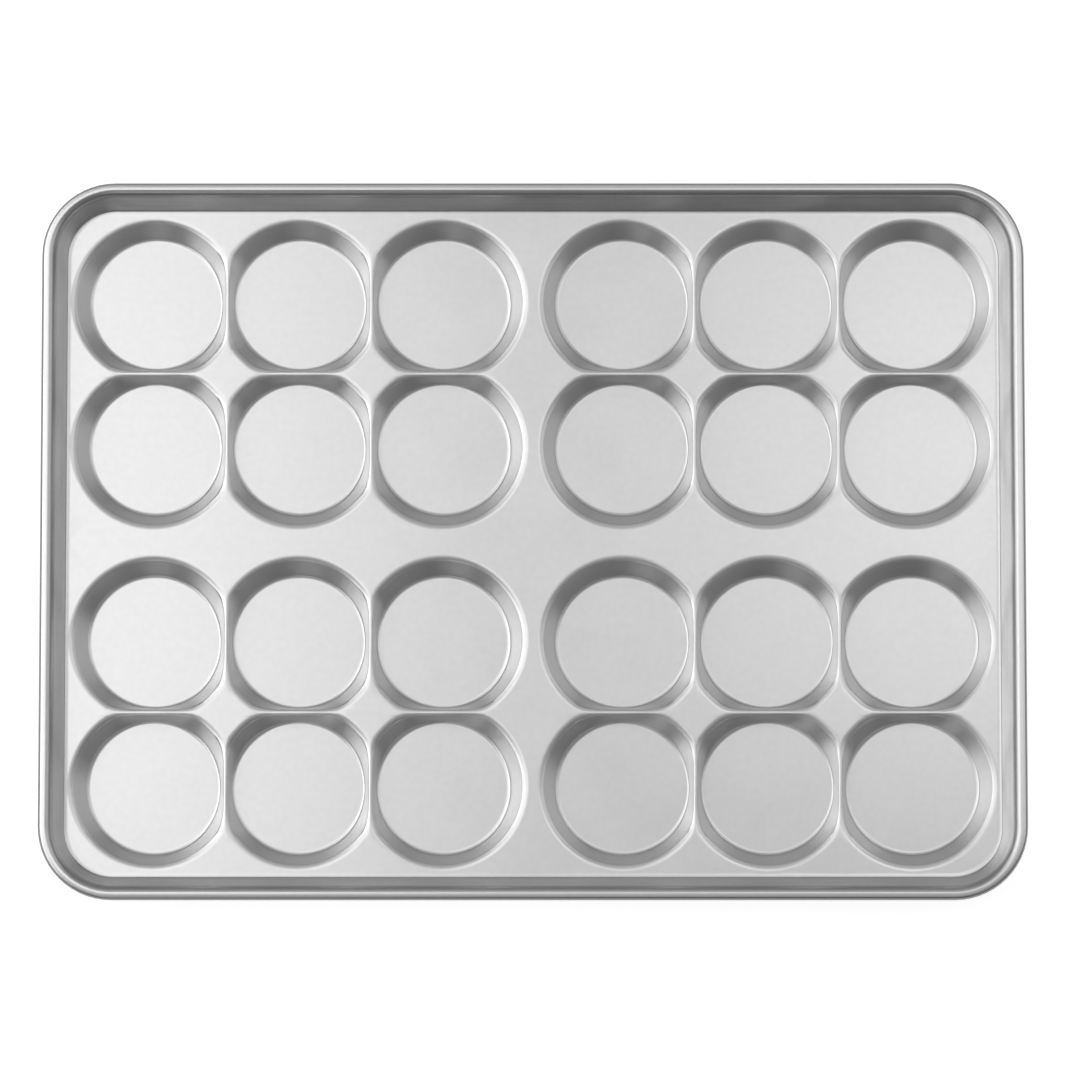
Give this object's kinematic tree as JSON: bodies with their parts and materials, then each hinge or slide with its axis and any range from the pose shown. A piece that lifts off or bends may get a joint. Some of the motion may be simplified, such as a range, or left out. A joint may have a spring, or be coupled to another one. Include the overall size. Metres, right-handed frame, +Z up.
{
  "type": "hamburger bun pan",
  "caption": "Rectangular drawn-metal bun pan with clusters of shallow tapered round cups, a flat deck, sloping walls and a rim rolled over a wire.",
  "frame": {"origin": "middle of the footprint, on the plane that the undersides of the cup floors rest on", "axes": "+X along the long side, +Y along the short side towards the back, +Z up out of the cups"},
  "size_m": [0.6348, 0.4648, 0.0372],
  "materials": {
    "pan_sheet": "bright satin aluminised steel",
    "rim_wire": "plain drawn steel rod"
  },
  "bodies": {
    "root": {"sheet_cup_r1_c1": "pan_sheet", "sheet_cup_r1_c2": "pan_sheet", "sheet_cup_r1_c3": "pan_sheet", "sheet_cup_r1_c4": "pan_sheet", "sheet_cup_r1_c5": "pan_sheet", "sheet_cup_r1_c6": "pan_sheet", "sheet_cup_r2_c1": "pan_sheet", "sheet_cup_r2_c2": "pan_sheet", "sheet_cup_r2_c3": "pan_sheet", "sheet_cup_r2_c4": "pan_sheet", "sheet_cup_r2_c5": "pan_sheet", "sheet_cup_r2_c6": "pan_sheet", "sheet_cup_r3_c1": "pan_sheet", "sheet_cup_r3_c2": "pan_sheet", "sheet_cup_r3_c3": "pan_sheet", "sheet_cup_r3_c4": "pan_sheet", "sheet_cup_r3_c5": "pan_sheet", "sheet_cup_r3_c6": "pan_sheet", "sheet_cup_r4_c1": "pan_sheet", "sheet_cup_r4_c2": "pan_sheet", "sheet_cup_r4_c3": "pan_sheet", "sheet_cup_r4_c4": "pan_sheet", "sheet_cup_r4_c5": "pan_sheet", "sheet_cup_r4_c6": "pan_sheet", "sheet_wall_front": "pan_sheet", "sheet_wall_back": "pan_sheet", "sheet_wall_left": "pan_sheet", "sheet_wall_right": "pan_sheet", "sheet_corner_front_left": "pan_sheet", "sheet_corner_front_right": "pan_sheet", "sheet_corner_back_left": "pan_sheet", "sheet_corner_back_right": "pan_sheet", "rim_wire": "rim_wire"}
  },
  "joints": []
}
